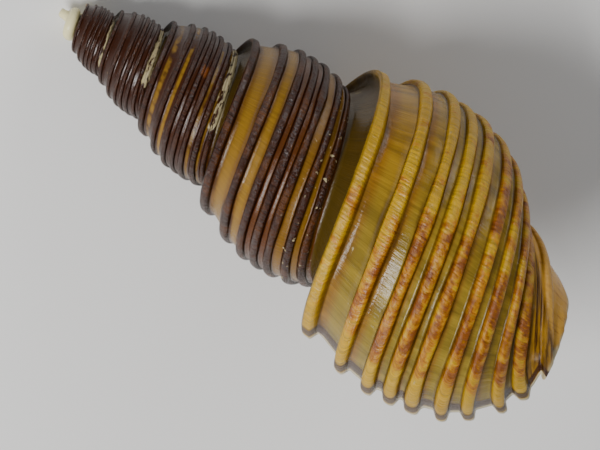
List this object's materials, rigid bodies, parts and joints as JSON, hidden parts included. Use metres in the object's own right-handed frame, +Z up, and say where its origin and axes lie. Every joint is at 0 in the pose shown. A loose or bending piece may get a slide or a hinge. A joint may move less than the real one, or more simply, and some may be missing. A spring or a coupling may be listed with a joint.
{
  "type": "whelk shell",
  "caption": "Tall right-handed sea shell with squarish spiral cords, a scalloped outer lip and a worn white apex, lying on its aperture.",
  "frame": {"origin": "centre of the box's base, on the ground that the shell lies on", "axes": "+Z up, +X from the apex towards the base of the shell; the aperture faces down and to -Y"},
  "size_m": [0.097, 0.0494, 0.0499],
  "materials": {
    "shell": "gloss"
  },
  "bodies": {
    "root": {"shell": "shell"}
  },
  "joints": []
}
